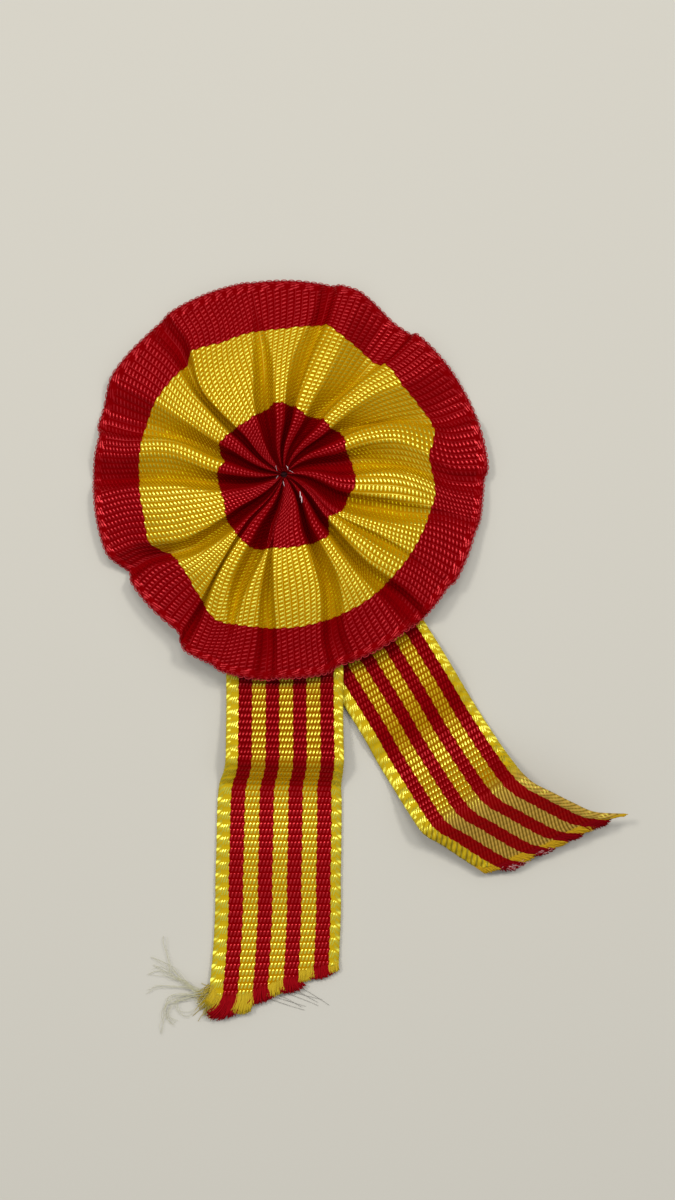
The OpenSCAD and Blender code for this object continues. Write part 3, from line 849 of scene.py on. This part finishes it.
class Graph:
    """Short way to write the nodes of a tree."""

    def __init__(self, tree):
        self.tree = tree

    def node(self, kind, inputs=None, **settings):
        n = self.tree.nodes.new(kind)
        for key, value in settings.items():
            setattr(n, key, value)
        for key, value in (inputs or {}).items():
            self.put(n.inputs[key], value)
        return n

    def put(self, socket, value):
        if isinstance(value, bpy.types.NodeSocket):
            self.tree.links.new(value, socket)
        else:
            socket.default_value = value

    def math(self, operation, *values, clamp=False):
        n = self.node("ShaderNodeMath", operation=operation, use_clamp=clamp)
        for i, value in enumerate(values):
            self.put(n.inputs[i], value)
        return n.outputs[0]

    add, sub, mul, div = map(operation, ("ADD", "SUBTRACT", "MULTIPLY", "DIVIDE"))
    power, sqrt, sine = map(operation, ("POWER", "SQRT", "SINE"))
    floor, fract, absolute = map(operation, ("FLOOR", "FRACT", "ABSOLUTE"))
    below, above, larger = map(operation, ("LESS_THAN", "GREATER_THAN", "MAXIMUM"))

    def between(self, value, low, high):
        return self.mul(self.above(value, low), self.below(value, high))

    def off_middle(self, fraction):
        """0 where the fraction is a half, 1 where it is 0 or 1."""
        return self.mul(self.absolute(self.sub(fraction, 0.5)), 2.0)

    def blend(self, factor, a, b):
        """Number a where factor is 0, b where it is 1."""
        return self.add(self.mul(a, self.sub(1.0, factor)), self.mul(b, factor))

    def mix(self, factor, a, b):
        """Colour a where factor is 0, b where it is 1."""
        n = self.node("ShaderNodeMix", data_type="RGBA")
        self.put(n.inputs["Factor"], factor)
        self.put(n.inputs[6], a)
        self.put(n.inputs[7], b)
        return n.outputs[2]

    def ramp(self, value, low, high):
        """0 below low, 1 above high, smooth between."""
        limits = {"From Min": low, "From Max": high, "Value": value}
        return self.node("ShaderNodeMapRange", limits, interpolation_type="SMOOTHSTEP").outputs[0]

    def noise(self, scale, detail, **inputs):
        return self.node("ShaderNodeTexNoise", {"Scale": scale, "Detail": detail, **inputs}).outputs["Fac"]

    def bump(self, height, strength, distance):
        inputs = {"Strength": strength, "Distance": distance, "Height": height}
        return self.node("ShaderNodeBump", inputs).outputs[0]

    def weave_uv(self):
        """Rib coordinate along the ribbon, and millimetres across it."""
        uv = self.node("ShaderNodeUVMap", uv_map="weave")
        split = self.node("ShaderNodeSeparateXYZ", {"Vector": uv.outputs[0]})
        return split.outputs[0], split.outputs[1]


class MaterialGraph(Graph):
    """The nodes of a new material."""

    def __init__(self, name):
        self.material = bpy.data.materials.new(name)
        self.material.use_nodes = True
        super().__init__(self.material.node_tree)
        self.tree.nodes.clear()

    def finish(self, shader_inputs):
        """Puts these on the material's shader and gives the material."""
        shader = self.node("ShaderNodeBsdfPrincipled", shader_inputs)
        self.node("ShaderNodeOutputMaterial", {"Surface": shader.outputs[0]})
        return self.material


# Float colours for the tops of the floats, partly a painted highlight, and deep colours for their low parts
# and the gaps between them: the same yarn in painted shade.
RED_FLOAT, RED_DEEP_SHADE, RED_GLINT = (0.21, 0.0004, 0.0018, 1), (0.17, 0.0002, 0.0012, 1), (1.0, 0.085, 0.1, 1)
YELLOW_FLOAT, YELLOW_DEEP_SHADE = (0.5, 0.32, 0.003, 1), (0.385, 0.187, 0.0004, 1)
YELLOW_GLINT = (0.94, 0.98, 0.145, 1)
YELLOW_EDGE = (0.46, 0.31, 0.006, 1)
# Darker gaps for painted shade on the tails, under the rosette's shadow and along the right tail.
YELLOW_GAP_SHADOW, RED_GAP_SHADOW = (0.25, 0.09, 0.0004, 1), (0.125, 0.0002, 0.001, 1)
# Colours of the right tail's end past its bend, in painted shade: its lighter and darker lines, and the dark
# gaps in its woven edges.
YELLOW_SHADED_END, YELLOW_SHADED_END_DEEP = (0.42, 0.25, 0.043, 1), (0.16, 0.09, 0.009, 1)
RED_SHADED_END, RED_SHADED_END_DEEP = (0.2, 0.004, 0.003, 1), (0.16, 0.0006, 0.0012, 1)
EDGE_GAP_SHADE = (0.15, 0.095, 0.006, 1)

# Unbroken thread beside each rib: its middle and half width as shares of the rib.
THREAD_AT, THREAD_HALF = 0.88, 0.11
# Woven edges: share of a pair of ribs that a float covers, pitch of its strands and their turn with each rib,
# and how fast the bead's yarn slants.
EDGE_FLOAT, STRAND_PITCH, STRAND_TURN, BEAD_SLANT = 0.7, 0.33, 5.5, 1.1
# The right tail's end past its bend, darker in painted shade and drawn in fine slanting lines: pitch of its
# lines, how many pass with each rib, and the ribs over which it sets in.
TWILL_PITCH, TWILL_PER_RIB, TWILL_EASE = 0.45, 1.3, 4
# Height from which a yarn catches light, and height where it does so fully.
SHINE_FROM, SHINE_FULL = 0.5, 0.88
# Lightness: the least, what a float's own shade and its fluff add, and how much darker the rosette's
# sunken middle is, in painted shade.
TONE, FLOAT_TONE, FLUFF_TONE, CENTRE_SHADE = 0.88, 0.1, 0.12, 0.1
ROUGH, LESS_ROUGH = 0.6, 0.24
# Gloss: on red, what yellow adds, the share of it that every float has, and what its own shade adds to that.
RED_GLOSS, YELLOW_GLOSS, LEAST_GLOSS, FLOAT_GLOSS = 0.55, 1.1, 0.7, 0.3
FLUFF_SCALE, FLUFF_BUMP, WEAVE_BUMP = 900.0, 0.15, 0.00002
YARN_IOR = 3.3


def rosette_colour(g, v):
    """1 on the yellow band."""
    return g.between(v, CENTRE_W, YELLOW_W)


def tail_colour(g, v):
    """1 on the yellow ones of nine stripes, which the two outermost are."""
    t = g.div(g.sub(v, LEFT_EDGE_W), STRIPE_W)
    even = g.below(g.fract(g.mul(t, 0.5)), 0.5)
    red = g.mul(even, g.below(v, LEFT_EDGE_W + (LAST_STRIPE - 1) * STRIPE_W))
    return g.sub(1.0, g.mul(red, g.above(v, LEFT_EDGE_W)))


def edge_relief(g, u, v, width, both_edges, bead_w):
    """Height of the woven edges, and how far a place is from the middle of the bead's slanting yarn.

    Three yarns float together over one rib and dive under the next, and the bead runs outside them.
    """
    from_edge = g.sub(width, v)
    if both_edges:
        from_edge = g.math("MINIMUM", from_edge, v)
    off_pair = g.off_middle(g.fract(g.mul(u, 0.5)))
    block = g.sub(1.0, g.power(g.div(off_pair, EDGE_FLOAT), 4.0), clamp=True)
    strand = g.sine(g.add(g.mul(v, 2 * math.pi / STRAND_PITCH), g.mul(u, STRAND_TURN)))
    inner = g.mul(g.sqrt(block), g.add(0.72, g.mul(strand, 0.34)))
    off_slant = g.off_middle(g.fract(g.add(u, g.mul(from_edge, BEAD_SLANT))))
    bead = g.sub(0.74, g.mul(g.power(off_slant, 2.0), 0.3))
    return g.blend(g.below(from_edge, bead_w), inner, bead), off_slant


def weave_material(name, yarn_pitch, start, slant, stagger, is_yellow, edge_at, edge_gloss, width, both_edges,
                   bead_w, float_w, float_l, line=0.0, shaded_to=0.0, dull_and_shade_at=(), shaded_end_from=None):
    """Ribbed ribbon: yarn floats over every other rib, laid like bricks, their colour chosen by place across.

    The yarns begin at start and are yarn_pitch apart. Each leans by slant over its rib and takes its colour
    partly, by stagger, from its own middle, so that a stripe's border steps. is_yellow(graph, v) gives 1 on
    yellow. A float covers float_w of its yarn, and is flatter with a higher float_l. Its top takes the
    lighter colour, partly a painted highlight, and its low parts and the gaps between floats the darker
    one, in painted shade. line is the height of an unbroken thread beside each rib. edge_at lists (from, to)
    of the woven edges, which add edge_gloss and have a bead of width bead_w outside. Up to shaded_to it is
    darker, in painted shade of the sunken middle. dull_and_shade_at lists (from, to, loss of gloss, loss on
    the edges, painted shade of the gaps) along it, in ribs, each growing from the first place to the second.
    Past the rib shaded_end_from the cloth is darker, in painted shade, and its yarns are drawn as fine
    slanting lines.
    """
    g = MaterialGraph(name)
    u, v = g.weave_uv()
    in_edge = None
    for low, high in edge_at:
        inside = g.between(v, low, high)
        in_edge = inside if in_edge is None else g.larger(in_edge, inside)
    rib, along_rib = g.floor(u), g.fract(u)
    shift = g.mul(g.math("MODULO", rib, 2.0), 0.5)
    lean = g.mul(g.sub(along_rib, 0.5), slant)
    place = g.add(g.add(g.div(g.sub(v, start), yarn_pitch), shift), lean)
    cell, across_yarn = g.floor(place), g.fract(place)
    float_v = g.add(g.mul(g.sub(g.add(cell, 0.5), shift), yarn_pitch), start)
    yellow = is_yellow(g, g.add(g.mul(v, 1 - stagger), g.mul(float_v, stagger)))

    dome_u = g.sub(1.0, g.power(g.off_middle(along_rib), float_l))
    off_v = g.div(g.off_middle(across_yarn), float_w)
    dome = g.mul(dome_u, g.sqrt(g.sub(1.0, g.power(off_v, 2.0), clamp=True)))
    if line:
        beside = g.mul(g.absolute(g.sub(along_rib, THREAD_AT)), 1 / THREAD_HALF)
        dome = g.larger(dome, g.mul(g.sub(1.0, g.power(beside, 2.0), clamp=True), line))
    edge_dome, off_slant = edge_relief(g, u, v, width, both_edges, bead_w)
    dome = g.blend(in_edge, dome, edge_dome)

    seed = g.node("ShaderNodeCombineXYZ", {"X": rib, "Y": cell}).outputs[0]
    random = g.node("ShaderNodeTexWhiteNoise", {"Vector": seed}, noise_dimensions="3D").outputs["Value"]
    fluff = g.noise(FLUFF_SCALE, 3.0)

    light = g.mix(yellow, RED_FLOAT, YELLOW_FLOAT)
    deep = g.mix(yellow, RED_DEEP_SHADE, YELLOW_DEEP_SHADE)
    # Painted shade: where listed along the ribbon, the gaps between the floats darken.
    fades = [(g.ramp(u, low, high), *amounts) for low, high, *amounts in dull_and_shade_at]
    gap_shade = 0.0
    for there, _, _, shade in fades:
        gap_shade = g.add(gap_shade, g.mul(there, shade), clamp=True)
    if fades:
        deep = g.mix(gap_shade, deep, g.mix(yellow, RED_GAP_SHADOW, YELLOW_GAP_SHADOW))
    edge_colour = YELLOW_EDGE
    # Painted shade: past its bend the right tail's end is darker and without glints, its weave drawn as fine
    # slanting lines; its far woven edge is darker too, with dark gaps between the edge's yarns.
    if shaded_end_from is not None:
        shaded_end = g.ramp(u, shaded_end_from, shaded_end_from + TWILL_EASE)
        lines = g.add(g.mul(v, 2 * math.pi / TWILL_PITCH), g.mul(u, 2 * math.pi * TWILL_PER_RIB))
        dome = g.blend(shaded_end, dome, g.add(0.68, g.mul(g.sine(lines), 0.3)))
        light = g.mix(shaded_end, light, g.mix(yellow, RED_SHADED_END, YELLOW_SHADED_END))
        deep = g.mix(shaded_end, deep, g.mix(yellow, RED_SHADED_END_DEEP, YELLOW_SHADED_END_DEEP))
        gap = g.mul(g.ramp(off_slant, 0.3, 0.95), g.mul(shaded_end, 0.85))
        far_edge = g.mul(shaded_end, g.above(v, width / 2))
        edge_colour = g.mix(gap, g.mix(far_edge, YELLOW_EDGE, YELLOW_SHADED_END), EDGE_GAP_SHADE)

    # Painted shade and highlight: the low parts of each float and the gaps between floats take the darker
    # colour, the float tops the lighter one.
    shine = g.ramp(dome, SHINE_FROM, SHINE_FULL)
    body = g.mix(g.mul(in_edge, yellow), g.mix(shine, deep, light), edge_colour)
    tone = g.add(TONE, g.add(g.mul(random, FLOAT_TONE), g.mul(fluff, FLUFF_TONE)))
    # Painted shade: the sunken middle of the rosette is darker.
    if shaded_to:
        tone = g.mul(tone, g.sub(1.0, g.mul(g.below(v, shaded_to), CENTRE_SHADE)))
    gloss = g.add(g.add(RED_GLOSS, g.mul(yellow, YELLOW_GLOSS)), g.mul(in_edge, edge_gloss))
    gloss = g.mul(g.mul(shine, gloss), g.add(LEAST_GLOSS, g.mul(random, FLOAT_GLOSS)))
    for there, loss, edge_loss, _ in fades:
        here = g.add(loss, g.mul(in_edge, edge_loss - loss))
        gloss = g.mul(gloss, g.sub(1.0, g.mul(there, here)))
    return g.finish({
        "Base Color": g.node("ShaderNodeVectorMath", {0: body, "Scale": tone}, operation="SCALE").outputs[0],
        "Roughness": g.sub(ROUGH, g.mul(shine, LESS_ROUGH)),
        "Normal": g.bump(g.add(dome, g.mul(fluff, FLUFF_BUMP)), 1.0, WEAVE_BUMP),
        "Specular IOR Level": gloss,
        "IOR": YARN_IOR,
        "Specular Tint": g.mix(yellow, RED_GLINT, YELLOW_GLINT),
        "Anisotropic": 1.0,
        "Anisotropic Rotation": 0.25,
        "Tangent": g.node("ShaderNodeTangent", direction_type="UV_MAP", uv_map="weave").outputs[0],
    })


ROSETTE_WEAVE = dict(
    yarn_pitch=0.6, start=0.0, slant=0.6, stagger=0.3, is_yellow=rosette_colour,
    edge_at=((BEAD_W, RIBBON_W + 1),), edge_gloss=-0.2, width=RIBBON_W, both_edges=False, bead_w=0.45,
    float_w=0.5, float_l=2.6, line=0.68, shaded_to=CENTRE_W,
)
TAIL_WEAVE = dict(
    yarn_pitch=0.475, start=LEFT_EDGE_W, slant=0.5, stagger=0.3, is_yellow=tail_colour,
    edge_at=((-1.0, LEFT_EDGE_W), (TAIL_W - RIGHT_EDGE_W, 20.0)), edge_gloss=0.1, width=TAIL_W,
    both_edges=True, bead_w=0.7, float_w=0.66, float_l=3.5,
)
# Painted shade and less gloss: on the left tail the gaps darken towards the rosette, where its shadow falls;
# on the right tail they are darker all along and more so towards the rosette, and its end loses its gloss.
LEFT_DULL_AND_SHADE = ((53, 47, 0.65, 0.4, 1.0),)
RIGHT_DULL_AND_SHADE = ((0, 1, 0.25, 0.1, 0.6), (54, 44, 0.75, 0.4, 0.4), (58, 62, 0.95, 0.8, 0.0))
SHADED_END_FROM = 58

# Piece, and its material's name, colour, roughness and gloss.
YARNS = {
    "rosette_edge_loops": ("edge_yarn", (0.44, 0.022, 0.032, 1), 0.5, 0.1),
    # The knot's near-black colour is painted shade of the hole in the middle.
    "centre_knot": ("hole_shade_thread", (0.02, 0.002, 0.003, 1), 0.7, 0.1),
    # The clear thread's pale colour is partly a painted glint.
    "centre_stitches": ("clear_thread_painted_glint", (0.9, 0.72, 0.74, 1), 0.12, 1.0),
    "tail_left_ends_yellow": ("yellow_yarn", (0.6, 0.42, 0.02, 1), 0.6, 0.05),
    "tail_left_ends_red": ("red_yarn", (0.32, 0.002, 0.006, 1), 0.6, 0.03),
    # The right tail's loose ends are darker than the left's: painted shade, as on the end of that tail.
    "tail_right_ends_yellow": ("dull_shaded_yellow_yarn", (0.55, 0.33, 0.012, 1), 0.7, 0.03),
    "tail_right_ends_red": ("dull_shaded_red_yarn", (0.22, 0.0012, 0.004, 1), 0.7, 0.02),
    "tail_left_fray": ("frayed_yarn", (0.62, 0.6, 0.4, 1), 0.7, 0.1),
    "tail_left_corner": ("corner_yarn", (0.5, 0.38, 0.06, 1), 0.7, 0.1),
    "tail_left_hairs": ("hair_yarn", (0.22, 0.2, 0.17, 1), 0.6, 0.1),
    "tail_right_lint": ("pale_lint", (0.62, 0.3, 0.3, 1), 0.5, 0.3),
}


def yarn_material(name, colour, roughness, gloss):
    g = MaterialGraph(name)
    noise = g.noise(3000.0, 2.0)
    dark = tuple(c * 0.6 for c in colour[:3]) + (1,)
    return g.finish({
        "Base Color": g.mix(noise, dark, colour),
        "Roughness": roughness,
        "Normal": g.bump(noise, 0.5, 0.00003),
        "Specular IOR Level": gloss,
    })


def steel_material():
    """Worn wire: fine scratches along X, and duller patches."""
    g = MaterialGraph("pin_steel")
    coords = g.node("ShaderNodeTexCoord").outputs["Object"]
    stretched = g.node("ShaderNodeMapping", {"Vector": coords, "Scale": (300.0, 4000.0, 4000.0)}).outputs[0]
    scratches = g.noise(1.0, 4.0, Vector=stretched)
    patches = g.noise(260.0, 3.0, Vector=coords)
    return g.finish({
        "Base Color": g.mix(patches, (0.42, 0.42, 0.43, 1), (0.7, 0.7, 0.69, 1)),
        "Metallic": 1.0,
        "Roughness": g.add(0.2, g.mul(patches, 0.25)),
        "Normal": g.bump(scratches, 0.3, 0.00002),
    })


# Scene

# The picture's height, and how far the frame is shifted, both in its pixels.
IMAGE_H = 1200
SHIFT_X_PX, SHIFT_Y_PX = 53.5, -120
CAMERA_AT, CAMERA_TILT = (0, -0.033765, 0.19549), 10
FLOOR_HALF, FLOOR_BELOW = 1.5, 0.00003
# The sky's strength grows with the height of the direction, between these limits.
SKY = {"From Min": 0.15, "From Max": 0.75, "To Min": 0.04, "To Max": 0.6}
SKY_COLOUR = (0.93, 0.95, 1.0, 1)
LAMP_TARGET = (0.005, -0.02, 0)
# Place, size, power and colour.
LAMPS = {
    "lamp_left": ((-0.28, 0.12, 0.5), (0.1, 0.1), 1.25, (1, 0.97, 0.93)),
    "lamp_right": ((0.25, 0.15, 0.5), (0.1, 0.1), 1.15, (1, 0.97, 0.93)),
    "lamp_top": ((-0.01, 0.2, 0.57), (0.2, 0.1), 1.0, (1, 0.98, 0.95)),
}


def make_lamp(name, place, size, power, colour):
    data = bpy.data.lights.new(name, "AREA")
    data.shape = "RECTANGLE"
    data.size, data.size_y = size
    data.energy = power
    data.color = colour
    lamp = add_to_scene(name, data)
    lamp.location = place
    lamp.rotation_euler = (Vector(LAMP_TARGET) - Vector(place)).to_track_quat("-Z", "Y").to_euler()


def make_light():
    world = bpy.data.worlds.new("world")
    bpy.context.scene.world = world
    world.use_nodes = True
    g = Graph(world.node_tree)
    background = g.tree.nodes["Background"]
    direction = g.node("ShaderNodeTexCoord").outputs["Generated"]
    up = g.node("ShaderNodeSeparateXYZ", {"Vector": direction}).outputs["Z"]
    strength = g.node("ShaderNodeMapRange", {**SKY, "Value": up}, interpolation_type="SMOOTHSTEP").outputs[0]
    g.put(background.inputs["Color"], SKY_COLOUR)
    g.put(background.inputs["Strength"], strength)
    for name, (place, size, power, colour) in LAMPS.items():
        make_lamp(name, place, size, power, colour)


def make_camera():
    data = bpy.data.cameras.new("camera")
    data.sensor_width = 36.0
    data.lens = 42.0
    data.shift_x, data.shift_y = SHIFT_X_PX / IMAGE_H, SHIFT_Y_PX / IMAGE_H
    data.clip_start, data.clip_end = 0.01, 10
    camera = add_to_scene("camera", data)
    camera.location = CAMERA_AT
    camera.rotation_euler = (math.radians(CAMERA_TILT), 0, 0)
    bpy.context.scene.camera = camera


def make_floor():
    mesh = bpy.data.meshes.new("floor")
    s = FLOOR_HALF
    mesh.from_pydata([(-s, -s, 0), (s, -s, 0), (s, s, 0), (-s, s, 0)], [], [(0, 1, 2, 3)])
    floor = add_to_scene("floor", mesh)
    floor.location.z = -FLOOR_BELOW
    paint = {"Base Color": (0.5, 0.485, 0.43, 1), "Roughness": 0.9, "Specular IOR Level": 0.1}
    mesh.materials.append(MaterialGraph("floor").finish(paint))


def set_view():
    view = bpy.context.scene.view_settings
    view.view_transform = "Standard"
    view.look = "None"
    view.exposure = 0.0


def main():
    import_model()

    rosette, loops = make_rosette()
    left, left_data = make_tail("tail_left_cloth", LEFT_SECTIONS, LEFT_CUT, LEFT_UNEVEN)
    right, right_data = make_tail("tail_right_cloth", RIGHT_SECTIONS, RIGHT_CUT, RIGHT_UNEVEN)
    left_ends = make_brush_ends("tail_left", left_data, LEFT_TUFTS, red_flare=1.1, yellow_flare=0.35)
    right_ends = make_brush_ends("tail_right", right_data, RIGHT_TUFTS, red_flare=0.3, yellow_flare=0.15)
    fray, corner, hairs = make_fray()
    knot, stitches = make_knot(), make_stitches(rosette)
    lint = make_lint(right_data)

    rosette.data.materials.append(weave_material("rosette_weave", **ROSETTE_WEAVE))
    left.data.materials.append(weave_material("tail_left_weave", **TAIL_WEAVE, dull_and_shade_at=LEFT_DULL_AND_SHADE))
    right.data.materials.append(
        weave_material("tail_right_weave", **TAIL_WEAVE, dull_and_shade_at=RIGHT_DULL_AND_SHADE, shaded_end_from=SHADED_END_FROM))
    extras = left_ends + right_ends + [fray, corner, hairs, lint]
    for piece in [loops, knot, stitches] + extras:
        piece.data.materials.append(yarn_material(*YARNS[piece.name]))
    pin = bpy.data.objects["safety_pin"]
    pin.data.materials.clear()
    pin.data.materials.append(steel_material())

    for obj in [rosette, loops, knot, stitches, left, right] + extras:
        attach(obj, "root")
    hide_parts("rosette_ribbon")
    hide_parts("tail_left")
    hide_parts("tail_right")

    make_floor()
    make_light()
    make_camera()
    set_view()


main()
